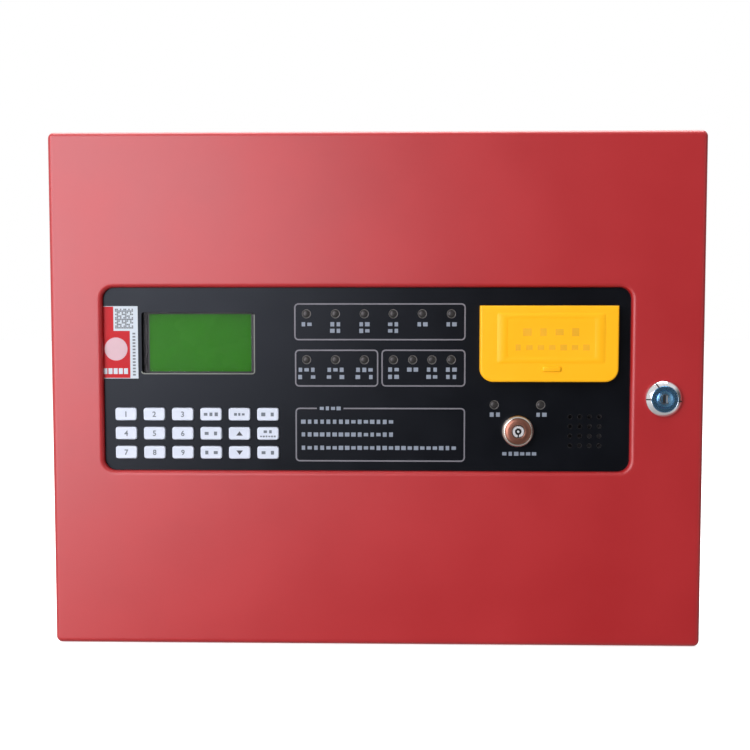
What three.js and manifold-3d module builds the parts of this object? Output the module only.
// Wall-mounted fire alarm and gas release control panel: a folded steel box, a hinged door with a
// window over a moulded control fascia, and the boards, supply and batteries inside.
//
// Everything is modelled in the panel's own frame: x to the right, y up, z out of the wall, with
// z = 0 on the wall face. The exported group is turned so that +Z is up and the door faces -Y.

import * as THREE from "three";
import { mergeVertices } from "three/addons/utils/BufferGeometryUtils.js";
import Module from "manifold-3d";

const wasm = await Module();
wasm.setup();

// ---------------------------------------------------------------------------
// Driving dimensions, in millimetres
// ---------------------------------------------------------------------------

const SEAT = 0.3; // gap left between pieces that rest on each other

// Door: one sheet, folded back all round, with a drawn-in window
const DOOR_WIDTH = 450;
const DOOR_HEIGHT = 355;
const CABINET_DEPTH = 120; // wall face to door face
const DOOR_SHEET = 1.5;
const DOOR_FOLD = 22;
const DOOR_EDGE = 3.4; // outer bend radius along the folds
const DOOR_CORNER = 4.2;
const WINDOW_WIDTH = 364;
const WINDOW_HEIGHT = 127;
const WINDOW_Y = 8; // window centre above the door's centre
const WINDOW_CORNER = 8;
const LIP_RADIUS = 2.8; // rounding of the drawn-in window edge
const LIP_DEPTH = 4;
const LIP_WIDTH = 9;

// Box: stands inside the door's folds
const BOX_SHEET = 1.2;
const BOX_SET_IN = 8; // door edge to box wall
const BOX_CORNER = 3;
const BOX_FLANGE = 10; // front edge turned inwards
const SEAL_THICKNESS = 5;
const SEAL_WIDTH = 8;
const KEYHOLE_INSET_X = 13;
const KEYHOLE_INSET_Y = 20;
const KEYHOLE_HEAD = 5; // radius for the screw head
const KEYHOLE_NECK = 3; // radius for the screw shank
const KEYHOLE_DROP = 10;
const CABLE_HOLE = 13.5; // radius of each cable entry
const CABLE_BORE = 8.5;
const CABLE_SPACING = 120;
const CABLE_DEPTH = 62; // cable entries from the wall face

// Hinges
const HINGE_LENGTH = 50;
const HINGE_LEAF = 1.2;
const HINGE_LEAF_REACH = 20;
const HINGE_PIN = 1.3; // pin radius
const HINGE_RUN = 0.25; // pin to knuckle bore
const HINGE_END_INSET = 55; // door end to hinge middle
const HINGE_FOLD_GAP = 0.9; // door fold to knuckle

// Fascia
const FASCIA_SIDE = 8; // beyond the window at each side, behind the door
const FASCIA_MARGIN = 12; // beyond the window above and below
const FASCIA_PLATE = 2.5;
const FASCIA_SKIRT = 5.2;
const FASCIA_WALL = 1.5;
const STUD_RADIUS = 2;
const STUD_LENGTH = 8;
const STUD_OFFSET = 7; // window edge to stud
const STUD_SPACING = 100;

// Display
const DISPLAY_X = -116.3; // from the window's centre
const DISPLAY_Y = 25.2;
const DISPLAY_OPENING_W = 78.4;
const DISPLAY_OPENING_H = 42.4;
const LENS_MARGIN = 3.5;
const LENS_THICKNESS = 1.5;
const LCD_FRAME_DEPTH = 7.5;
const LCD_FRAME_MARGIN = 4.5;
const LCD_VIEW_W = 73;
const LCD_VIEW_H = 40;
const LCD_BOARD_W = 93;
const LCD_BOARD_H = 70;

// Keys: six columns by three rows
const KEY_WIDTH = 15;
const KEY_HEIGHT = 8.8;
const KEY_CORNER = 1.7;
const KEY_SPACE_X = 4.8; // between columns
const KEY_SPACE_Y = 4.55; // between rows
const KEY_COLUMNS = 6;
const KEY_ROWS = 3;
const KEYS_LEFT = -174.3; // from the window's centre
const KEYS_TOP = -19.9;
const KEY_PROUD = 1.5;
const KEY_TRAVEL = 1.2;
const KEY_RUN = 0.35; // key to its hole
const KEY_FLANGE = 1;
const KEY_LAP = 0.8; // flange beyond the cap

// Indicator lamps
const LAMP_RADIUS = 2.5;
const LAMP_RUN = 0.3;
const LAMP_PROUD = 0.7;
const LAMP_PITCH = 20;
const LAMP_FIRST_X = -40.8;
const LAMP_TOP_Y = 45.4;
const LAMP_MIDDLE_Y = 13.7;
const LAMP_CLOSE_PITCH = 13.3;
const LAMP_CLOSE_FIRST_X = 19.3;
const MODE_LAMP_RISE = 17.9; // above the key switch
const MODE_LAMP_SPREAD = 16;

// Display board
const BOARD = 1.6; // thickness of every circuit board
const BOARD_LEFT = -181;
const BOARD_RIGHT = 75;
const BOARD_TOP = 62;
const BOARD_GAP = 12.7; // fascia to board
const BOSS_RADIUS = 3.5;
const BOSS_INSET = 4.5;
const BOSS_MIDDLE = -30;
const BOSS_CLEAR = 0.5; // key flange to boss

// Key switch and sounder
const SWITCH_X = 105;
const SWITCH_Y = -35.3;
const SWITCH_HEAD = 11.2;
const SWITCH_FACE = 8;
const SWITCH_BARREL = 8.9;
const SWITCH_PROUD = 6.5;
const SWITCH_LENGTH = 26; // behind the fascia's face
const ROTOR_RADIUS = 4;
const ROTOR_RUN = 0.3;
const SOUNDER_X = 151.4;
const SOUNDER_Y = -35.6;
const SOUNDER_RADIUS = 17;
const SOUNDER_DEPTH = 8.5;
const GRILLE_PITCH = 6.7;
const GRILLE_HOLES = 4;
const GRILLE_RADIUS = 1.5;

// Flip-up cover over the two release buttons
const COVER_X = 125.4; // cover centre from the window's centre
const COVER_TOP = 51;
const COVER_WIDTH = 94;
const COVER_HEIGHT = 52;
const COVER_WALL = 1.7;
const COVER_CORNER = 9;
const COVER_FRONT = 4.2; // hinge axis to cover face
const COVER_BACK = 3; // hinge axis to the cover's rear edge
const COVER_OVER_AXIS = 3;
const COVER_LIFT = 0.8; // base to the cover's rear edge
const COVER_PAD_W = 71;
const COVER_PAD_H = 32.6;
const COVER_PAD_RISE = 1.8;
const BASE_PLATE = 1.2;
const EAR_THICKNESS = 3;
const EAR_CLEAR = 0.4; // ear to the inside of the cover's face
const COVER_PIN = 0.8;
const BUTTON_SPREAD = 20;
const BUTTON_DROP = 27; // cover top to button centre
const BUTTON_RADIUS = 6.5;
const BUTTON_TRAVEL = 2.5;
const BUTTON_RUN = 0.35;
const BEZEL_RADIUS = 10;
const BEZEL_THICKNESS = 1;
const PUSH_BARREL = 7.9;
const PUSH_LENGTH = 17;

// Door lock
const LOCK_CLEAR = 1; // lock barrel to the box's turned-in edge
const LOCK_Y = -4.6;
const LOCK_HEAD = 12.3;
const LOCK_FACE = 9;
const LOCK_HEAD_HEIGHT = 4.6;
const LOCK_BARREL = 9;
const PLUG_RADIUS = 5.6;
const PLUG_RUN = 0.3;
const PLUG_TAIL = 7; // side of the square tail
const CAM_THICKNESS = 2.5;
const CAM_WIDTH = 12;
const CAM_CLEARANCE = 3;
const NUT_THICKNESS = 3.5;
const NUT_WALL = 1.4; // barrel to the flats of its nut
const NUT_TO_WINDOW = 2.6; // lock nut to the drawn-in window edge

// Inside the box
const CHASSIS_SHEET = 1.5;
const CHASSIS_STAND = 7.5;
const CHASSIS_MARGIN = 24; // box wall to chassis edge
const CHASSIS_TOP_GAP = 16;
const CHASSIS_OVER_BATTERY = 2;
const BATTERY_WIDTH = 151;
const BATTERY_HEIGHT = 94;
const BATTERY_THICKNESS = 65;
const BATTERY_TAB = 6.3;
const BATTERY_SPACE = 5;
const STRAP_HEIGHT = 20;
const STRAP_FOOT = 14;
const STRAP_SHEET = 1.2;
const MAIN_BOARD_W = 236;
const MAIN_BOARD_H = 150;
const MAIN_BOARD_STAND = 8;
const MAIN_BOARD_INSET = 8;
const TERMINAL_LENGTH = 204;
const TERMINAL_HEIGHT = 11;
const TERMINAL_DEPTH = 12;
const SUPPLY_WIDTH = 98;
const SUPPLY_HEIGHT = 150;
const SUPPLY_DEPTH = 38;
const SUPPLY_STEP = 18; // open terminal end of the supply
const SUPPLY_INSET = 10;
const EARTH_STUD = 3; // radius of the stud welded to the back
const HARNESS_RADIUS = 3;
const HARNESS_PLUG_X = -140; // on the display board, from the window's centre
const HARNESS_PLUG_Y = -50;

// ---------------------------------------------------------------------------
// Derived levels and places
// ---------------------------------------------------------------------------

const DOOR_BACK = CABINET_DEPTH - DOOR_FOLD;
const DOOR_INSIDE = CABINET_DEPTH - DOOR_SHEET;
const BOX_WIDTH = DOOR_WIDTH - 2 * BOX_SET_IN;
const BOX_HEIGHT = DOOR_HEIGHT - 2 * BOX_SET_IN;
const BOX_FRONT = DOOR_INSIDE - SEAL_THICKNESS - 2 * SEAT;
const INNER_WIDTH = BOX_WIDTH - 2 * BOX_SHEET;
const INNER_HEIGHT = BOX_HEIGHT - 2 * BOX_SHEET;
const FLOOR_Y = -INNER_HEIGHT / 2;

const HINGE_RADIUS = (BOX_SET_IN - DOOR_SHEET) / 2 - SEAT;
const HINGE_X = -BOX_WIDTH / 2 - (BOX_SET_IN - DOOR_SHEET) / 2;
const HINGE_Z = DOOR_BACK - HINGE_FOLD_GAP - HINGE_RADIUS;

const FASCIA_FACE = CABINET_DEPTH - LIP_DEPTH - SEAT;
const FASCIA_REAR = FASCIA_FACE - FASCIA_PLATE;
const FASCIA_WIDTH = WINDOW_WIDTH + 2 * FASCIA_SIDE;
const FASCIA_HEIGHT = WINDOW_HEIGHT + 2 * FASCIA_MARGIN;
const LENS_FRONT = FASCIA_REAR - SEAT;
const BOARD_FRONT = FASCIA_REAR - BOARD_GAP;
const BOARD_REAR = BOARD_FRONT - BOARD;
const KEY_PITCH_X = KEY_WIDTH + KEY_SPACE_X;
const KEY_PITCH_Y = KEY_HEIGHT + KEY_SPACE_Y;
const KEY_FIRST_X = KEYS_LEFT + KEY_WIDTH / 2;
const KEY_FIRST_Y = KEYS_TOP - KEY_HEIGHT / 2;
const KEYS_BOTTOM = KEYS_TOP - KEY_ROWS * KEY_PITCH_Y + KEY_SPACE_Y;
const BOARD_BOTTOM = KEYS_BOTTOM - KEY_LAP - BOSS_CLEAR - BOSS_RADIUS - BOSS_INSET;
const SWITCH_TOP = FASCIA_REAR - SEAT - KEY_FLANGE - 2.6 - KEY_TRAVEL - 0.4; // top of each key's contact

const EAR_RADIUS = COVER_FRONT - COVER_WALL - EAR_CLEAR;
const COVER_AXIS_Y = COVER_TOP - COVER_OVER_AXIS;
const BASE_FRONT = FASCIA_FACE + SEAT + BASE_PLATE;
const COVER_AXIS_Z = BASE_FRONT + COVER_LIFT + COVER_BACK;

const LOCK_X = BOX_WIDTH / 2 - BOX_FLANGE - LOCK_BARREL - LOCK_CLEAR;
const WINDOW_RIGHT = LOCK_X - LOCK_BARREL - NUT_WALL - NUT_TO_WINDOW - LIP_WIDTH;
const WINDOW_X = WINDOW_RIGHT - WINDOW_WIDTH / 2;
const CAM_FRONT = BOX_FRONT - BOX_SHEET - CAM_CLEARANCE;
const CAM_BACK = CAM_FRONT - CAM_THICKNESS;
const CAM_REACH = INNER_WIDTH / 2 - LOCK_X - 3;

const CHASSIS_FRONT = BOX_SHEET + SEAT + CHASSIS_STAND + CHASSIS_SHEET;
const BATTERY_TOP = FLOOR_Y + SEAT + BATTERY_HEIGHT;
const CHASSIS_BOTTOM = BATTERY_TOP + BATTERY_TAB + CHASSIS_OVER_BATTERY;
const CHASSIS_TOP = INNER_HEIGHT / 2 - CHASSIS_TOP_GAP;
const CHASSIS_HALF = INNER_WIDTH / 2 - CHASSIS_MARGIN;
const MAIN_BOARD_BACK = CHASSIS_FRONT + SEAT + MAIN_BOARD_STAND;
const MAIN_BOARD_FRONT = MAIN_BOARD_BACK + BOARD;
const MAIN_BOARD_X = -CHASSIS_HALF + MAIN_BOARD_INSET + MAIN_BOARD_W / 2;
const MAIN_BOARD_Y = (CHASSIS_TOP + CHASSIS_BOTTOM) / 2;

// ---------------------------------------------------------------------------
// Solids
// ---------------------------------------------------------------------------

function solidOf(geometry) {
  const bare = geometry.index ? geometry.toNonIndexed() : geometry.clone();
  bare.deleteAttribute("normal");
  bare.deleteAttribute("uv");
  const merged = mergeVertices(bare, 1e-4);
  return new wasm.Manifold(
    new wasm.Mesh({
      numProp: 3,
      vertProperties: merged.attributes.position.array,
      triVerts: new Uint32Array(merged.index.array),
    }),
  );
}

function geometryOf(solid) {
  const mesh = solid.getMesh();
  const geometry = new THREE.BufferGeometry();
  geometry.setAttribute("position", new THREE.BufferAttribute(mesh.vertProperties, 3));
  geometry.setIndex(new THREE.BufferAttribute(mesh.triVerts, 1));
  geometry.computeVertexNormals();
  return geometry;
}

function join(first, ...others) {
  return geometryOf(others.reduce((sum, other) => sum.add(solidOf(other)), solidOf(first)));
}

function cut(base, ...tools) {
  return geometryOf(tools.reduce((rest, tool) => rest.subtract(solidOf(tool)), solidOf(base)));
}

// A box centred on (x, y), from depth back to depth front.
function block(width, height, back, front, x = 0, y = 0) {
  return new THREE.BoxGeometry(width, height, front - back).translate(x, y, (front + back) / 2);
}

// A round bar along z.
function rod(radius, back, front, x = 0, y = 0, sides = 16) {
  return new THREE.CylinderGeometry(radius, radius, front - back, sides)
    .rotateX(Math.PI / 2)
    .translate(x, y, (front + back) / 2);
}

function rodAlongX(radius, length, x, y, z, sides = 12) {
  return new THREE.CylinderGeometry(radius, radius, length, sides).rotateZ(Math.PI / 2).translate(x, y, z);
}

function rodAlongY(radius, length, x, y, z, sides = 16) {
  return new THREE.CylinderGeometry(radius, radius, length, sides).translate(x, y, z);
}

// A solid of revolution about z, from a closed outline of [radius, z] points.
function turned(outline, sides = 20) {
  const points = outline.map(([radius, z]) => new THREE.Vector2(radius, z));
  return new THREE.LatheGeometry(points, sides).rotateX(Math.PI / 2);
}

function roundedRectangle(Outline, width, height, corner, x = 0, y = 0) {
  const [left, right] = [x - width / 2, x + width / 2];
  const [bottom, top] = [y - height / 2, y + height / 2];
  const outline = new Outline();
  outline.moveTo(left + corner, bottom);
  outline.lineTo(right - corner, bottom);
  outline.absarc(right - corner, bottom + corner, corner, -Math.PI / 2, 0, false);
  outline.lineTo(right, top - corner);
  outline.absarc(right - corner, top - corner, corner, 0, Math.PI / 2, false);
  outline.lineTo(left + corner, top);
  outline.absarc(left + corner, top - corner, corner, Math.PI / 2, Math.PI, false);
  outline.lineTo(left, bottom + corner);
  outline.absarc(left + corner, bottom + corner, corner, Math.PI, 1.5 * Math.PI, false);
  return outline;
}

// A round hole as a polygon whose flats lie on the radius.
function roundHole(radius, x, y, sides = 12) {
  const corner = radius / Math.cos(Math.PI / sides);
  const angles = Array.from({ length: sides }, (_, i) => (2 * Math.PI * i) / sides);
  return new THREE.Path(
    angles.map((a) => new THREE.Vector2(x + corner * Math.cos(a), y + corner * Math.sin(a))),
  );
}

function slab(shape, back, front, curveSegments = 4) {
  const options = { depth: front - back, bevelEnabled: false, curveSegments };
  return new THREE.ExtrudeGeometry(shape, options).translate(0, 0, back);
}

// A slab whose front edges, round the outside and round every hole, have a rounded profile.
function softSlab(shape, back, front, edge, edgeSteps = 3, curveSegments = 3) {
  const options = {
    depth: front - back,
    bevelThickness: edge,
    bevelSize: edge,
    bevelOffset: -edge,
    bevelSegments: edgeSteps,
    curveSegments,
  };
  const raw = new THREE.ExtrudeGeometry(shape, options).translate(0, 0, back - edge);
  raw.computeBoundingBox();
  const { min, max } = raw.boundingBox;
  const margin = 1;
  const rear = block(
    max.x - min.x + 2 * margin,
    max.y - min.y + 2 * margin,
    min.z - margin,
    back,
    (max.x + min.x) / 2,
    (max.y + min.y) / 2,
  );
  return cut(raw, rear);
}

// ---------------------------------------------------------------------------
// Materials
// ---------------------------------------------------------------------------

const finish = (color, roughness, metalness = 0) =>
  new THREE.MeshStandardMaterial({ color, roughness, metalness });

const redPaint = finish(0xb3262a, 0.45);
const galvanised = finish(0xa9adb0, 0.4, 0.9);
const brightSteel = finish(0xc8c8c8, 0.25, 1);
const chrome = finish(0xe6e6e6, 0.08, 1);
const blackPlastic = finish(0x1c1c1e, 0.5);
const whitePlastic = finish(0xe8ecf0, 0.4);
const yellowPlastic = finish(0xf8c51a, 0.4);
const redPlastic = finish(0xc01818, 0.35);
const greenPlastic = finish(0x1f9a3c, 0.35);
const clearPlastic = new THREE.MeshStandardMaterial({ color: 0xdfe8e4, transparent: true, opacity: 0.3 });
const boardGreen = finish(0x14562c, 0.5);
const terminalGreen = finish(0x2f8f4a, 0.5);
const batteryGrey = finish(0x3a3d42, 0.55);
const rubber = finish(0x161616, 0.9);

const panel = new THREE.Group();
panel.rotation.x = Math.PI / 2;

function piece(name, geometry, material, x = 0, y = 0, z = 0) {
  const mesh = new THREE.Mesh(geometry, material);
  mesh.name = name;
  mesh.position.set(x, y, z);
  panel.add(mesh);
  return mesh;
}

// ---------------------------------------------------------------------------
// Back box
// ---------------------------------------------------------------------------

// Keyhole outline: a round head hole with a narrow neck above it for the screw shank.
function keyhole(x, y) {
  const meet = Math.sqrt(KEYHOLE_HEAD ** 2 - KEYHOLE_NECK ** 2);
  const start = Math.atan2(meet, KEYHOLE_NECK);
  const shape = new THREE.Shape();
  shape.absarc(x, y, KEYHOLE_HEAD, Math.PI - start, 2 * Math.PI + start, false);
  shape.absarc(x, y + KEYHOLE_DROP, KEYHOLE_NECK, 0, Math.PI, false);
  return shape;
}

function backBox() {
  const shell = cut(
    slab(roundedRectangle(THREE.Shape, BOX_WIDTH, BOX_HEIGHT, BOX_CORNER), 0, BOX_FRONT),
    slab(
      roundedRectangle(THREE.Shape, INNER_WIDTH, INNER_HEIGHT, BOX_CORNER - BOX_SHEET),
      BOX_SHEET,
      BOX_FRONT - BOX_SHEET,
    ),
    block(
      BOX_WIDTH - 2 * BOX_FLANGE,
      BOX_HEIGHT - 2 * BOX_FLANGE,
      BOX_FRONT - 2 * BOX_SHEET,
      BOX_FRONT + BOX_SHEET,
    ),
  );
  const holes = [];
  for (const side of [-1, 1]) {
    for (const end of [-1, 1]) {
      const x = side * (BOX_WIDTH / 2 - KEYHOLE_INSET_X);
      const y = end * (BOX_HEIGHT / 2 - KEYHOLE_INSET_Y) - KEYHOLE_DROP / 2;
      holes.push(slab(keyhole(x, y), -BOX_SHEET, 2 * BOX_SHEET, 4));
    }
    holes.push(
      rodAlongY(CABLE_HOLE, 4 * BOX_SHEET, (side * CABLE_SPACING) / 2, BOX_HEIGHT / 2, CABLE_DEPTH, 18),
    );
  }
  const stud = rod(EARTH_STUD, BOX_SHEET - 0.2, BOX_SHEET + 20, INNER_WIDTH / 2 - 34, FLOOR_Y + 60, 12);
  return join(cut(shell, ...holes), stud);
}

piece("back_box", backBox(), redPaint);

// Rubber bush that lines a cable entry: a flange on each side of the sheet and a neck between.
function cableGrommet() {
  const lip = 2.4;
  const flange = CABLE_HOLE + 2.5;
  const neck = CABLE_HOLE - SEAT;
  const half = BOX_SHEET / 2 + SEAT;
  const outline = [
    [CABLE_BORE, -half - lip],
    [flange, -half - lip],
    [flange, -half],
    [neck, -half],
    [neck, half],
    [flange, half],
    [flange, half + lip],
    [CABLE_BORE, half + lip],
    [CABLE_BORE, -half - lip],
  ].map(([radius, along]) => new THREE.Vector2(radius, along));
  return new THREE.LatheGeometry(outline, 18);
}

[-1, 1].forEach((side, i) => {
  const name = ["cable_grommet_left", "cable_grommet_right"][i];
  const y = BOX_HEIGHT / 2 - BOX_SHEET / 2;
  piece(name, cableGrommet(), rubber, (side * CABLE_SPACING) / 2, y, CABLE_DEPTH);
});

// ---------------------------------------------------------------------------
// Hinges: two knuckles on the box leaf, one between them on the door leaf
// ---------------------------------------------------------------------------

const KNUCKLE = HINGE_LENGTH / 3;
const KNUCKLE_GAP = 0.4;

function boxLeaf() {
  const leaf = block(HINGE_LEAF, HINGE_LENGTH, -HINGE_LEAF_REACH, 0, HINGE_RADIUS - HINGE_LEAF / 2);
  const middle = block(4 * HINGE_RADIUS, KNUCKLE, -HINGE_RADIUS - KNUCKLE_GAP, 4 * HINGE_RADIUS);
  const bore = rodAlongY(HINGE_PIN + HINGE_RUN, HINGE_LENGTH + 2, 0, 0, 0);
  const end = KNUCKLE - KNUCKLE_GAP;
  return cut(
    join(
      leaf,
      rodAlongY(HINGE_RADIUS, end, 0, (HINGE_LENGTH - end) / 2, 0),
      rodAlongY(HINGE_RADIUS, end, 0, -(HINGE_LENGTH - end) / 2, 0),
    ),
    middle,
    bore,
  );
}

function doorLeaf() {
  const height = KNUCKLE - KNUCKLE_GAP;
  const rise = HINGE_LEAF_REACH - 4;
  const forward = HINGE_RADIUS + HINGE_FOLD_GAP;
  const neck = block(HINGE_LEAF, height, 0, forward + 1, -HINGE_RADIUS + HINGE_LEAF / 2);
  const leaf = block(HINGE_LEAF, HINGE_LENGTH, forward, rise, -HINGE_RADIUS + HINGE_LEAF / 2);
  const bore = rodAlongY(HINGE_PIN + HINGE_RUN, HINGE_LENGTH + 2, 0, 0, 0);
  return cut(join(leaf, neck, rodAlongY(HINGE_RADIUS, height, 0, 0, 0)), bore);
}

function hingePin() {
  const head = rodAlongY(HINGE_RADIUS * 0.8, 1.2, 0, HINGE_LENGTH / 2 + SEAT + 0.6, 0);
  return join(rodAlongY(HINGE_PIN, HINGE_LENGTH + 2 * SEAT, 0, 0, 0), head);
}

["upper", "lower"].forEach((place, i) => {
  const y = (i === 0 ? 1 : -1) * (DOOR_HEIGHT / 2 - HINGE_END_INSET);
  piece(`hinge_${place}_box_leaf`, boxLeaf(), galvanised, HINGE_X, y, HINGE_Z);
  piece(`hinge_${place}_door_leaf`, doorLeaf(), galvanised, HINGE_X, y, HINGE_Z);
  piece(`hinge_${place}_pin`, hingePin(), brightSteel, HINGE_X, y, HINGE_Z);
});

// ---------------------------------------------------------------------------
// Door
// ---------------------------------------------------------------------------

// Weld studs round the window that carry the fascia.
const studs = [];
for (const side of [-1, 1]) {
  for (const step of [-1.5, -0.5, 0.5, 1.5]) {
    const x = WINDOW_X + step * STUD_SPACING;
    studs.push([x, WINDOW_Y + side * (WINDOW_HEIGHT / 2 + STUD_OFFSET)]);
  }
}

function doorPanel() {
  const skin = cut(
    softSlab(
      roundedRectangle(THREE.Shape, DOOR_WIDTH, DOOR_HEIGHT, DOOR_CORNER),
      DOOR_BACK,
      CABINET_DEPTH,
      DOOR_EDGE,
    ),
    softSlab(
      roundedRectangle(
        THREE.Shape,
        DOOR_WIDTH - 2 * DOOR_SHEET,
        DOOR_HEIGHT - 2 * DOOR_SHEET,
        DOOR_CORNER - DOOR_SHEET,
      ),
      DOOR_BACK - 1,
      DOOR_INSIDE,
      DOOR_EDGE - DOOR_SHEET,
    ),
    slab(
      roundedRectangle(
        THREE.Shape,
        WINDOW_WIDTH + LIP_WIDTH,
        WINDOW_HEIGHT + LIP_WIDTH,
        WINDOW_CORNER + LIP_WIDTH / 2,
        WINDOW_X,
        WINDOW_Y,
      ),
      DOOR_INSIDE - 1,
      CABINET_DEPTH + 1,
    ),
    rod(LOCK_BARREL + SEAT, DOOR_INSIDE - 1, CABINET_DEPTH + 1, LOCK_X, LOCK_Y, 20),
  );
  const ring = roundedRectangle(
    THREE.Shape,
    WINDOW_WIDTH + 2 * LIP_WIDTH,
    WINDOW_HEIGHT + 2 * LIP_WIDTH,
    WINDOW_CORNER + LIP_WIDTH,
    WINDOW_X,
    WINDOW_Y,
  );
  ring.holes.push(
    roundedRectangle(THREE.Path, WINDOW_WIDTH, WINDOW_HEIGHT, WINDOW_CORNER, WINDOW_X, WINDOW_Y),
  );
  const lip = softSlab(ring, CABINET_DEPTH - LIP_DEPTH, CABINET_DEPTH, LIP_RADIUS, 3);
  const foot = CABINET_DEPTH - LIP_DEPTH;
  return join(skin, lip, ...studs.map(([x, y]) => rod(STUD_RADIUS, foot - STUD_LENGTH, foot + 1, x, y, 8)));
}

piece("door_panel", doorPanel(), redPaint);

// Foam seal on the inside of the door, meeting the middle of the box's turned-in edge.
function doorSeal() {
  const lineWidth = BOX_WIDTH - BOX_FLANGE;
  const lineHeight = BOX_HEIGHT - BOX_FLANGE;
  return cut(
    block(lineWidth + SEAL_WIDTH, lineHeight + SEAL_WIDTH, BOX_FRONT + SEAT, DOOR_INSIDE - SEAT),
    block(lineWidth - SEAL_WIDTH, lineHeight - SEAL_WIDTH, BOX_FRONT, DOOR_INSIDE),
  );
}

piece("door_seal", doorSeal(), rubber);

// ---------------------------------------------------------------------------
// Fascia and what it carries; x and y here are counted from the window's centre
// ---------------------------------------------------------------------------

const keyPlaces = [];
for (let row = 0; row < KEY_ROWS; row++) {
  for (let column = 0; column < KEY_COLUMNS; column++) {
    keyPlaces.push([KEY_FIRST_X + column * KEY_PITCH_X, KEY_FIRST_Y - row * KEY_PITCH_Y]);
  }
}

const boardLamps = [
  ...[0, 1, 2, 3, 4, 5].map((i) => [LAMP_FIRST_X + i * LAMP_PITCH, LAMP_TOP_Y]),
  ...[0, 1, 2].map((i) => [LAMP_FIRST_X + i * LAMP_PITCH, LAMP_MIDDLE_Y]),
  ...[0, 1, 2, 3].map((i) => [LAMP_CLOSE_FIRST_X + i * LAMP_CLOSE_PITCH, LAMP_MIDDLE_Y]),
];

const modeLamps = [-1, 1].map((side) => [SWITCH_X + side * MODE_LAMP_SPREAD, SWITCH_Y + MODE_LAMP_RISE]);

const bosses = [BOARD_LEFT + BOSS_INSET, BOSS_MIDDLE, BOARD_RIGHT - BOSS_INSET].flatMap((x) => [
  [x, BOARD_BOTTOM + BOSS_INSET],
  [x, BOARD_TOP - BOSS_INSET],
]);

const buttonPlaces = [-1, 1].map((side) => [COVER_X + side * BUTTON_SPREAD, COVER_TOP - BUTTON_DROP]);

function fascia() {
  const face = roundedRectangle(THREE.Shape, FASCIA_WIDTH, FASCIA_HEIGHT, WINDOW_CORNER);
  face.holes.push(
    roundedRectangle(THREE.Path, DISPLAY_OPENING_W, DISPLAY_OPENING_H, 1.5, DISPLAY_X, DISPLAY_Y),
    roundHole(SWITCH_BARREL + SEAT, SWITCH_X, SWITCH_Y, 24),
  );
  for (const [x, y] of keyPlaces) {
    const [width, height] = [KEY_WIDTH + 2 * KEY_RUN, KEY_HEIGHT + 2 * KEY_RUN];
    face.holes.push(roundedRectangle(THREE.Path, width, height, KEY_CORNER + KEY_RUN, x, y));
  }
  for (const [x, y] of [...boardLamps, ...modeLamps]) {
    face.holes.push(roundHole(LAMP_RADIUS + LAMP_RUN, x, y, 10));
  }
  for (const [x, y] of buttonPlaces) {
    face.holes.push(roundHole(PUSH_BARREL + SEAT, x, y, 24));
  }
  for (const [x, y] of studs) {
    face.holes.push(roundHole(STUD_RADIUS + SEAT, x - WINDOW_X, y - WINDOW_Y, 8));
  }
  const grilleStart = ((GRILLE_HOLES - 1) * GRILLE_PITCH) / 2;
  for (let row = 0; row < GRILLE_HOLES; row++) {
    for (let column = 0; column < GRILLE_HOLES; column++) {
      const x = SOUNDER_X - grilleStart + column * GRILLE_PITCH;
      const y = SOUNDER_Y - grilleStart + row * GRILLE_PITCH;
      face.holes.push(roundHole(GRILLE_RADIUS, x, y, 8));
    }
  }
  const skirt = roundedRectangle(THREE.Shape, FASCIA_WIDTH, FASCIA_HEIGHT, WINDOW_CORNER);
  const inside = FASCIA_WIDTH - 2 * FASCIA_WALL;
  const insideHeight = FASCIA_HEIGHT - 2 * FASCIA_WALL;
  skirt.holes.push(roundedRectangle(THREE.Path, inside, insideHeight, WINDOW_CORNER - FASCIA_WALL));
  return join(
    slab(face, FASCIA_REAR, FASCIA_FACE, 1),
    slab(skirt, FASCIA_REAR - FASCIA_SKIRT, FASCIA_REAR + 0.1, 1),
    ...bosses.map(([x, y]) => rod(BOSS_RADIUS, BOARD_FRONT + SEAT, FASCIA_REAR + 0.1, x, y, 8)),
  );
}

piece("fascia", fascia(), blackPlastic, WINDOW_X, WINDOW_Y);

function displayLens() {
  const [width, height] = [DISPLAY_OPENING_W + 2 * LENS_MARGIN, DISPLAY_OPENING_H + 2 * LENS_MARGIN];
  return slab(roundedRectangle(THREE.Shape, width, height, 1.5), LENS_FRONT - LENS_THICKNESS, LENS_FRONT);
}

const displayX = WINDOW_X + DISPLAY_X;
const displayY = WINDOW_Y + DISPLAY_Y;
piece("display_lens", displayLens(), clearPlastic, displayX, displayY);

// Liquid crystal module: its own small board and a pressed frame round the glass.
function displayModule() {
  const front = LENS_FRONT - LENS_THICKNESS - SEAT;
  const back = front - LCD_FRAME_DEPTH;
  const [width, height] = [
    DISPLAY_OPENING_W + 2 * LCD_FRAME_MARGIN,
    DISPLAY_OPENING_H + 2 * LCD_FRAME_MARGIN,
  ];
  return cut(
    join(block(LCD_BOARD_W, LCD_BOARD_H, back - BOARD, back), block(width, height, back - 0.1, front)),
    block(LCD_VIEW_W, LCD_VIEW_H, front - 0.8, front + 1),
  );
}

piece("display_module", displayModule(), boardGreen, displayX, displayY);

// A round-topped lamp on a board, from the board face to just proud of the fascia.
function lamp(x, y, foot) {
  const tip = FASCIA_FACE + LAMP_PROUD;
  const shoulder = tip - LAMP_RADIUS * 0.5;
  return turned(
    [
      [0, foot],
      [LAMP_RADIUS, foot],
      [LAMP_RADIUS, shoulder],
      [LAMP_RADIUS * 0.6, tip],
      [0, tip],
    ],
    10,
  ).translate(x, y, 0);
}

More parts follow.
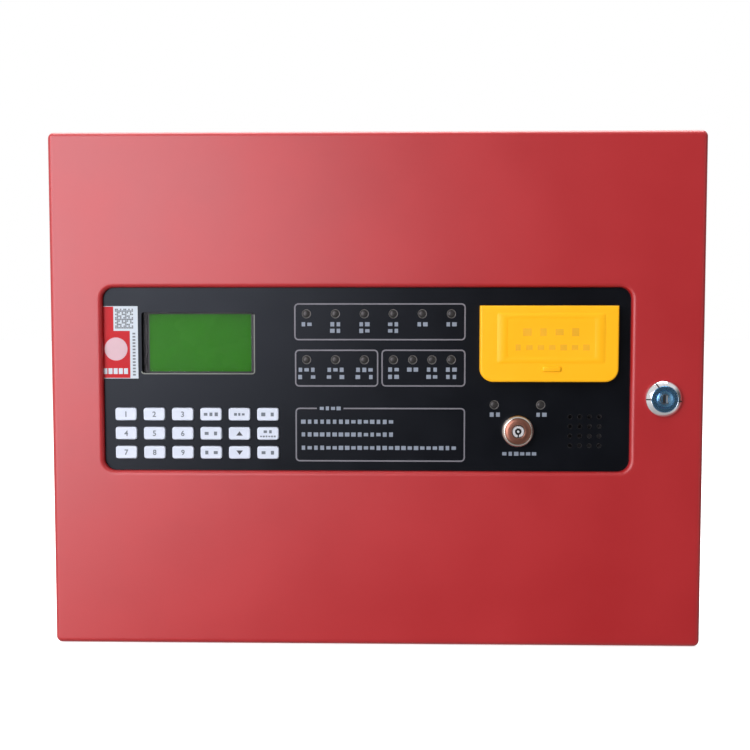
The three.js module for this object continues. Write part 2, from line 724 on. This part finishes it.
function displayBoard() {
  const width = BOARD_RIGHT - BOARD_LEFT;
  const height = BOARD_TOP - BOARD_BOTTOM;
  const [x, y] = [(BOARD_LEFT + BOARD_RIGHT) / 2, (BOARD_TOP + BOARD_BOTTOM) / 2];
  const sink = BOARD_FRONT - 0.2;
  const contacts = keyPlaces.map(([keyX, keyY]) => block(6, 6, sink, SWITCH_TOP, keyX, keyY));
  return join(
    block(width, height, BOARD_REAR, BOARD_FRONT, x, y),
    ...contacts,
    ...boardLamps.map(([lampX, lampY]) => lamp(lampX, lampY, sink)),
    block(26, 8, BOARD_REAR - 6, BOARD_REAR + 0.2, HARNESS_PLUG_X, HARNESS_PLUG_Y),
    block(14, 14, BOARD_REAR - 1.6, BOARD_REAR + 0.2, 10, 0),
    block(20, 10, BOARD_REAR - 2.6, BOARD_REAR + 0.2, 40, -30),
  );
}

piece("display_board", displayBoard(), boardGreen, WINDOW_X, WINDOW_Y);

// Small board that holds the two mode lamps above the key switch.
function modeBoard() {
  const y = SWITCH_Y + MODE_LAMP_RISE;
  const back = FASCIA_REAR - 9;
  return join(
    block(2 * MODE_LAMP_SPREAD + 10, 8, back - BOARD, back, SWITCH_X, y),
    ...modeLamps.map(([lampX, lampY]) => lamp(lampX, lampY, back - 0.2)),
  );
}

piece("mode_lamp_board", modeBoard(), boardGreen, WINDOW_X, WINDOW_Y);

// A key cap: soft-edged top, retaining flange behind the fascia and a stem to its contact.
function keyCap() {
  const flangeFront = FASCIA_REAR - SEAT;
  const flangeBack = flangeFront - KEY_FLANGE;
  const stemEnd = SWITCH_TOP + KEY_TRAVEL + 0.2;
  return join(
    softSlab(
      roundedRectangle(THREE.Shape, KEY_WIDTH, KEY_HEIGHT, KEY_CORNER),
      flangeFront - 0.1,
      FASCIA_FACE + KEY_PROUD,
      0.6,
      1,
      1,
    ),
    block(KEY_WIDTH + 2 * KEY_LAP, KEY_HEIGHT + 2 * KEY_LAP, flangeBack, flangeFront),
    block(4.5, 4.5, stemEnd, flangeBack + 0.1),
  );
}

const capGeometry = keyCap();
const keyNames = [
  ["1", "2", "3", "menu", "tab", "back"],
  ["4", "5", "6", "enter", "up", "silence"],
  ["7", "8", "9", "cancel", "down", "reset"],
].flat();
keyPlaces.forEach(([x, y], i) => {
  piece(`key_${keyNames[i]}`, capGeometry, whitePlastic, WINDOW_X + x, WINDOW_Y + y);
});

function sounder() {
  const front = FASCIA_REAR - SEAT;
  return turned([
    [0, front - SOUNDER_DEPTH - 5],
    [9, front - SOUNDER_DEPTH - 5],
    [9, front - SOUNDER_DEPTH],
    [SOUNDER_RADIUS, front - SOUNDER_DEPTH],
    [SOUNDER_RADIUS, front],
    [SOUNDER_RADIUS - 2, front],
    [SOUNDER_RADIUS - 4, front - 2],
    [0, front - 4],
  ]);
}

piece("sounder", sounder(), blackPlastic, WINDOW_X + SOUNDER_X, WINDOW_Y + SOUNDER_Y);

// ---------------------------------------------------------------------------
// Mode key switch
// ---------------------------------------------------------------------------

function switchBody() {
  const seat = FASCIA_FACE + SEAT;
  const face = seat + SWITCH_PROUD;
  const bore = ROTOR_RADIUS + ROTOR_RUN;
  const back = FASCIA_FACE - SWITCH_LENGTH;
  const shell = turned([
    [bore, back + 0.2],
    [SWITCH_BARREL, back + 0.2],
    [SWITCH_BARREL, seat],
    [SWITCH_HEAD, seat],
    [SWITCH_HEAD, face - 3.2],
    [SWITCH_HEAD - 1, face - 1.6],
    [SWITCH_FACE, face],
    [bore, face],
    [bore, back + 0.2],
  ]);
  const contacts = cut(block(18, 18, back - 6, back + 0.4), rod(bore, back - 7, back + 1));
  return join(shell, contacts);
}

const switchX = WINDOW_X + SWITCH_X;
const switchY = WINDOW_Y + SWITCH_Y;
piece("key_switch_body", switchBody(), chrome, switchX, switchY);

// Hexagon nut with its flats at the sides.
function ringNut(barrel, flat, back, front) {
  const corner = flat / Math.cos(Math.PI / 6);
  return cut(rod(corner, back, front, 0, 0, 6), rod(barrel + SEAT, back - 1, front + 1, 0, 0, 24));
}

piece(
  "key_switch_nut",
  ringNut(SWITCH_BARREL, SWITCH_BARREL + 2, FASCIA_REAR - SEAT - NUT_THICKNESS, FASCIA_REAR - SEAT),
  brightSteel,
  switchX,
  switchY,
);

function switchRotor() {
  const face = FASCIA_FACE + SEAT + SWITCH_PROUD + 0.3;
  const back = FASCIA_FACE - SWITCH_LENGTH - 4;
  return cut(
    rod(ROTOR_RADIUS, back, face, 0, 0, 20),
    block(1.4, 3, face - 5, face + 1, 0, 2.4),
    rod(1.6, face - 5, face + 1, 0, 0, 12),
  );
}

piece("key_switch_rotor", switchRotor(), brightSteel, switchX, switchY);

// ---------------------------------------------------------------------------
// Flip-up cover, its base and pin, and the two push buttons under it
// ---------------------------------------------------------------------------

const coverX = WINDOW_X + COVER_X;
const coverAxisY = WINDOW_Y + COVER_AXIS_Y;
const COVER_CENTRE_Y = COVER_OVER_AXIS - COVER_HEIGHT / 2; // cover centre below its hinge axis

// Cover outline: square top corners at the hinge and round bottom corners.
function coverOutline(width, height, corner, topExtra = 0) {
  const top = COVER_CENTRE_Y + height / 2 + topExtra;
  const bottom = COVER_CENTRE_Y - height / 2;
  const half = width / 2;
  const shape = new THREE.Shape();
  shape.moveTo(-half + corner, bottom);
  shape.lineTo(half - corner, bottom);
  shape.absarc(half - corner, bottom + corner, corner, -Math.PI / 2, 0, false);
  shape.lineTo(half, top);
  shape.lineTo(-half, top);
  shape.lineTo(-half, bottom + corner);
  shape.absarc(-half + corner, bottom + corner, corner, Math.PI, 1.5 * Math.PI, false);
  return shape;
}

function flipCover() {
  const openTop = 10;
  const soft = 1.6;
  const shell = cut(
    softSlab(coverOutline(COVER_WIDTH, COVER_HEIGHT, COVER_CORNER), -COVER_BACK, COVER_FRONT, soft, 2, 5),
    slab(
      coverOutline(
        COVER_WIDTH - 2 * COVER_WALL,
        COVER_HEIGHT - 2 * COVER_WALL,
        COVER_CORNER - COVER_WALL,
        openTop,
      ),
      -COVER_BACK - 1,
      COVER_FRONT - COVER_WALL,
      5,
    ),
    cut(
      block(COVER_WIDTH + 2, COVER_OVER_AXIS + 1, -COVER_BACK - 1, 0, 0, (COVER_OVER_AXIS + 1) / 2),
      rodAlongX(COVER_BACK, COVER_WIDTH + 4, 0, 0, 0, 24),
    ),
    rodAlongX(COVER_PIN + SEAT, COVER_WIDTH + 4, 0, 0, 0),
  );
  const pad = roundedRectangle(THREE.Shape, COVER_PAD_W, COVER_PAD_H, 2.6, 1.5, COVER_CENTRE_Y + 3.8);
  const lift = roundedRectangle(THREE.Shape, 13, 3.6, 1.7, 1.5, COVER_CENTRE_Y - 17.2);
  return join(
    shell,
    softSlab(pad, COVER_FRONT - 0.5, COVER_FRONT + COVER_PAD_RISE, 1.6, 2, 3),
    softSlab(lift, COVER_FRONT - 0.5, COVER_FRONT + 1.6, 1.2, 2, 3),
  );
}

piece("flip_cover", flipCover(), yellowPlastic, coverX, coverAxisY, COVER_AXIS_Z);

function coverBase() {
  const rim = 1;
  const front = BASE_FRONT - COVER_AXIS_Z;
  const plate = coverOutline(COVER_WIDTH - 2 * rim, COVER_HEIGHT - 2 * rim - 1, COVER_CORNER - rim);
  const barrelY = COVER_OVER_AXIS - BUTTON_DROP;
  for (const side of [-1, 1]) {
    plate.holes.push(roundHole(PUSH_BARREL + SEAT, side * BUTTON_SPREAD, barrelY, 24));
  }
  const earX = COVER_WIDTH / 2 - COVER_WALL - 2 * SEAT - EAR_THICKNESS / 2;
  const ears = [-1, 1].flatMap((side) => [
    block(EAR_THICKNESS, 2 * EAR_RADIUS, front - 0.1, 0, side * earX),
    rodAlongX(EAR_RADIUS, EAR_THICKNESS, side * earX, 0, 0),
  ]);
  return cut(
    join(slab(plate, front - BASE_PLATE, front, 4), ...ears),
    rodAlongX(COVER_PIN + 0.2, COVER_WIDTH, 0, 0, 0),
  );
}

piece("cover_base", coverBase(), yellowPlastic, coverX, coverAxisY, COVER_AXIS_Z);

const coverPin = rodAlongX(COVER_PIN, COVER_WIDTH - 1, 0, 0, 0);
piece("cover_hinge_pin", coverPin, brightSteel, coverX, coverAxisY, COVER_AXIS_Z);

const BUTTON_FACE = COVER_AXIS_Z + COVER_FRONT - COVER_WALL - 2; // clears the closed cover by 2 mm
const BUTTON_LENGTH = 12;

function pushSwitchBody() {
  const seat = BASE_FRONT + SEAT;
  const bore = BUTTON_RADIUS + BUTTON_RUN;
  const back = FASCIA_FACE - PUSH_LENGTH;
  const floor = BUTTON_FACE - BUTTON_LENGTH - BUTTON_TRAVEL - SEAT;
  return turned([
    [0, back],
    [PUSH_BARREL, back],
    [PUSH_BARREL, seat],
    [BEZEL_RADIUS, seat],
    [BEZEL_RADIUS, seat + BEZEL_THICKNESS * 0.4],
    [BEZEL_RADIUS - 0.8, seat + BEZEL_THICKNESS],
    [bore, seat + BEZEL_THICKNESS],
    [bore, floor],
    [0, floor],
  ]);
}

function pushButton() {
  return turned([
    [0, BUTTON_FACE - BUTTON_LENGTH],
    [BUTTON_RADIUS, BUTTON_FACE - BUTTON_LENGTH],
    [BUTTON_RADIUS, BUTTON_FACE - 0.6],
    [BUTTON_RADIUS - 0.6, BUTTON_FACE],
    [0, BUTTON_FACE],
  ]);
}

["start", "stop"].forEach((name, i) => {
  const [x, y] = buttonPlaces[i];
  const colour = [redPlastic, greenPlastic][i];
  piece(`${name}_switch_body`, pushSwitchBody(), blackPlastic, WINDOW_X + x, WINDOW_Y + y);
  piece(`${name}_button`, pushButton(), colour, WINDOW_X + x, WINDOW_Y + y);
});

// ---------------------------------------------------------------------------
// Door lock
// ---------------------------------------------------------------------------

function lockBody() {
  const seat = CABINET_DEPTH + SEAT;
  const face = seat + LOCK_HEAD_HEIGHT;
  const bore = PLUG_RADIUS + PLUG_RUN;
  const back = CAM_FRONT + SEAT;
  return turned([
    [bore, back],
    [LOCK_BARREL, back],
    [LOCK_BARREL, seat],
    [LOCK_HEAD, seat],
    [LOCK_HEAD, seat + 1.2],
    [LOCK_HEAD - 1.2, face - 1.4],
    [LOCK_FACE, face],
    [bore, face],
    [bore, back],
  ]);
}

piece("lock_body", lockBody(), chrome, LOCK_X, LOCK_Y);
piece(
  "lock_nut",
  ringNut(LOCK_BARREL, LOCK_BARREL + NUT_WALL, DOOR_INSIDE - SEAT - NUT_THICKNESS, DOOR_INSIDE - SEAT),
  brightSteel,
  LOCK_X,
  LOCK_Y,
);

// The plug turns in the body; its square tail drives the cam.
function lockPlug() {
  const face = CABINET_DEPTH + SEAT + LOCK_HEAD_HEIGHT + 0.2;
  return cut(
    join(
      rod(PLUG_RADIUS, CAM_FRONT + SEAT, face, 0, 0, 20),
      block(PLUG_TAIL, PLUG_TAIL, CAM_BACK - 1.2, CAM_FRONT + SEAT + 0.1),
    ),
    block(1.3, 6.4, face - 7, face + 1),
  );
}

function lockCam() {
  const shape = new THREE.Shape();
  const half = CAM_WIDTH / 2;
  shape.absarc(0, 0, half, 0, Math.PI, false);
  shape.lineTo(-half, -CAM_REACH);
  shape.lineTo(half, -CAM_REACH);
  const side = PLUG_TAIL + 2 * SEAT;
  return cut(slab(shape, CAM_BACK, CAM_FRONT, 8), block(side, side, CAM_BACK - 1, CAM_FRONT + 1));
}

piece("lock_plug", lockPlug(), brightSteel, LOCK_X, LOCK_Y);
piece("lock_cam", lockCam(), galvanised, LOCK_X, LOCK_Y);

// ---------------------------------------------------------------------------
// Inside the box
// ---------------------------------------------------------------------------

// Chassis plate, standing on its two folded-back edges.
function chassisPlate() {
  const back = CHASSIS_FRONT - CHASSIS_SHEET;
  const height = CHASSIS_TOP - CHASSIS_BOTTOM;
  const y = (CHASSIS_TOP + CHASSIS_BOTTOM) / 2;
  const edgeX = CHASSIS_HALF - CHASSIS_SHEET / 2;
  return join(
    block(2 * CHASSIS_HALF, height, back, CHASSIS_FRONT, 0, y),
    ...[-1, 1].map((side) => block(CHASSIS_SHEET, height, BOX_SHEET + SEAT, back + 0.1, side * edgeX, y)),
  );
}

piece("chassis_plate", chassisPlate(), galvanised);

function mainBoard() {
  const sink = MAIN_BOARD_FRONT - 0.2;
  const [halfW, halfH] = [MAIN_BOARD_W / 2 - 5, MAIN_BOARD_H / 2 - 5];
  const standoffs = [-1, 1].flatMap((a) =>
    [-1, 1].map((b) => rod(3, CHASSIS_FRONT + SEAT, MAIN_BOARD_BACK + 0.1, a * halfW, b * halfH, 6)),
  );
  const relays = [0, 1, 2, 3, 4, 5, 6, 7].map((i) => block(15, 19, sink, sink + 15, -92 + i * 21, 38));
  const capacitors = [0, 1, 2, 3].map((i) => rod(6, sink, sink + 20, 66 + (i % 2) * 20, i < 2 ? -8 : -30, 10));
  return join(
    block(MAIN_BOARD_W, MAIN_BOARD_H, MAIN_BOARD_BACK, MAIN_BOARD_FRONT),
    ...standoffs,
    ...relays,
    ...capacitors,
    block(20, 20, sink, sink + 2.4, -30, -2),
    block(16, 10, sink, sink + 3, 2, 0),
    block(30, 26, sink, sink + 21, -82, -14),
    block(26, 8, sink, sink + 9, -40, -36),
    block(24, 8, sink, sink + 10, 26, -34),
  );
}

piece("main_board", mainBoard(), boardGreen, MAIN_BOARD_X, MAIN_BOARD_Y);

// Screw terminal row: stepped section with its wire entries facing the board's edge.
function terminalRow(facing) {
  const outline = new THREE.Shape();
  const back = MAIN_BOARD_FRONT + SEAT;
  const half = (facing * TERMINAL_HEIGHT) / 2;
  outline.moveTo(-half, back);
  outline.lineTo(half, back);
  outline.lineTo(half, back + TERMINAL_DEPTH * 0.55);
  outline.lineTo(half * 0.4, back + TERMINAL_DEPTH);
  outline.lineTo(-half, back + TERMINAL_DEPTH);
  const options = { depth: TERMINAL_LENGTH, bevelEnabled: false };
  const bar = new THREE.ExtrudeGeometry(outline, options).translate(0, 0, -TERMINAL_LENGTH / 2);
  // the section's x becomes y and its y becomes z, so the row runs along x
  return bar.applyMatrix4(new THREE.Matrix4().set(0, 0, 1, 0, 1, 0, 0, 0, 0, 1, 0, 0, 0, 0, 0, 1));
}

const TERMINAL_Y = MAIN_BOARD_H / 2 - TERMINAL_HEIGHT / 2 - 4;
piece("terminals_upper", terminalRow(1), terminalGreen, MAIN_BOARD_X, MAIN_BOARD_Y + TERMINAL_Y);
piece("terminals_lower", terminalRow(-1), terminalGreen, MAIN_BOARD_X, MAIN_BOARD_Y - TERMINAL_Y);

// Power supply: a sheet case, open at the low end that carries its terminals.
const supplyX = CHASSIS_HALF - SUPPLY_INSET - SUPPLY_WIDTH / 2;
const SUPPLY_BACK = CHASSIS_FRONT + SEAT;
const SUPPLY_SHELF = SUPPLY_BACK + 14;

function powerSupply() {
  const bottom = -SUPPLY_HEIGHT / 2;
  const inside = SUPPLY_HEIGHT - SUPPLY_STEP - BOX_SHEET;
  return cut(
    block(SUPPLY_WIDTH, SUPPLY_HEIGHT, SUPPLY_BACK, SUPPLY_BACK + SUPPLY_DEPTH),
    block(
      SUPPLY_WIDTH - 2 * BOX_SHEET,
      inside + 1,
      SUPPLY_BACK + BOX_SHEET,
      SUPPLY_BACK + SUPPLY_DEPTH - BOX_SHEET,
      0,
      bottom + SUPPLY_STEP + (inside - 1) / 2,
    ),
    block(
      SUPPLY_WIDTH - 2.4,
      SUPPLY_STEP + 1,
      SUPPLY_SHELF,
      SUPPLY_BACK + SUPPLY_DEPTH + 1,
      0,
      bottom + SUPPLY_STEP / 2 - 0.5,
    ),
  );
}

piece("power_supply", powerSupply(), galvanised, supplyX, MAIN_BOARD_Y);

function supplyTerminals() {
  const width = SUPPLY_WIDTH - 14;
  const poles = 7;
  const base = block(width, 14, SUPPLY_SHELF + SEAT, SUPPLY_SHELF + 6);
  const walls = Array.from({ length: poles + 1 }, (_, i) =>
    block(1.2, 14, SUPPLY_SHELF + 5.9, SUPPLY_SHELF + 11, -width / 2 + 0.6 + (i * (width - 1.2)) / poles),
  );
  return join(base, ...walls);
}

piece(
  "supply_terminals",
  supplyTerminals(),
  blackPlastic,
  supplyX,
  MAIN_BOARD_Y - SUPPLY_HEIGHT / 2 + SUPPLY_STEP / 2,
);

// Sealed battery: soft-edged case and two blade terminals on its top.
function battery() {
  const back = BOX_SHEET + SEAT;
  const front = back + BATTERY_THICKNESS;
  const half = BATTERY_HEIGHT / 2;
  const tabs = [-1, 1].map((side) =>
    block(BATTERY_TAB, BATTERY_TAB, front - 16, front - 15.2, side * 62, half + BATTERY_TAB / 2 - 0.1),
  );
  const outline = roundedRectangle(THREE.Shape, BATTERY_WIDTH, BATTERY_HEIGHT, 2);
  return join(softSlab(outline, back, front, 1.2, 1, 2), ...tabs);
}

const batteryY = FLOOR_Y + SEAT + BATTERY_HEIGHT / 2;
["battery_left", "battery_right"].forEach((name, i) => {
  const x = (i - 0.5) * (BATTERY_WIDTH + BATTERY_SPACE);
  piece(name, battery(), batteryGrey, x, batteryY);
});

// Steel strap over both batteries, with a foot on the back sheet at each end.
function batteryStrap() {
  const back = BOX_SHEET + SEAT;
  const front = back + BATTERY_THICKNESS + SEAT + STRAP_SHEET;
  const legX = BATTERY_WIDTH + BATTERY_SPACE / 2 + SEAT + STRAP_SHEET / 2;
  const footX = legX + STRAP_FOOT / 2;
  return join(
    block(2 * legX + STRAP_SHEET, STRAP_HEIGHT, front - STRAP_SHEET, front),
    ...[-1, 1].flatMap((side) => [
      block(STRAP_SHEET, STRAP_HEIGHT, back, front, side * legX),
      block(STRAP_FOOT, STRAP_HEIGHT, back, back + STRAP_SHEET, side * footX),
    ]),
  );
}

piece("battery_strap", batteryStrap(), galvanised, 0, batteryY);

// ---------------------------------------------------------------------------
// Harness from the main board to the display board, in two stretches that meet beside the hinge
// ---------------------------------------------------------------------------

const HARNESS_MEET = new THREE.Vector3(HINGE_X + 33, WINDOW_Y - 12, (HINGE_Z + BOARD_REAR) / 2 - 8);

function harness(points) {
  const round = new THREE.Shape();
  round.absarc(0, 0, HARNESS_RADIUS, 0, 2 * Math.PI, false);
  const options = {
    steps: 22,
    curveSegments: 4,
    bevelEnabled: false,
    extrudePath: new THREE.CatmullRomCurve3(points),
  };
  return new THREE.ExtrudeGeometry(round, options);
}

const meetGap = new THREE.Vector3(0, SEAT / 2, 0);
const plugFace = MAIN_BOARD_FRONT + 9 + SEAT;
const boxPlugX = MAIN_BOARD_X - 40;
const boxPlugY = MAIN_BOARD_Y - 36;
const harnessBox = harness([
  new THREE.Vector3(boxPlugX, boxPlugY, plugFace + HARNESS_RADIUS),
  new THREE.Vector3(boxPlugX - 4, boxPlugY, plugFace + 14),
  new THREE.Vector3((boxPlugX + HARNESS_MEET.x) / 2, boxPlugY + 4, plugFace + 26),
  new THREE.Vector3(HARNESS_MEET.x + 4, boxPlugY + 16, HARNESS_MEET.z - 12),
  HARNESS_MEET.clone().add(new THREE.Vector3(0, 26, -4)),
  HARNESS_MEET.clone().add(meetGap),
]);
piece("harness_box_side", harnessBox, rubber);

const doorPlug = new THREE.Vector3(
  WINDOW_X + HARNESS_PLUG_X,
  WINDOW_Y + HARNESS_PLUG_Y,
  BOARD_REAR - 6 - SEAT - HARNESS_RADIUS,
);
const harnessDoor = harness([
  HARNESS_MEET.clone().sub(meetGap),
  HARNESS_MEET.clone().add(new THREE.Vector3(0, -16, 2)),
  new THREE.Vector3(HARNESS_MEET.x + 8, doorPlug.y + 3, doorPlug.z - 2),
  new THREE.Vector3((HARNESS_MEET.x + doorPlug.x) / 2, doorPlug.y - 1, doorPlug.z - 1),
  doorPlug,
]);
piece("harness_door_side", harnessDoor, rubber);

export default panel;
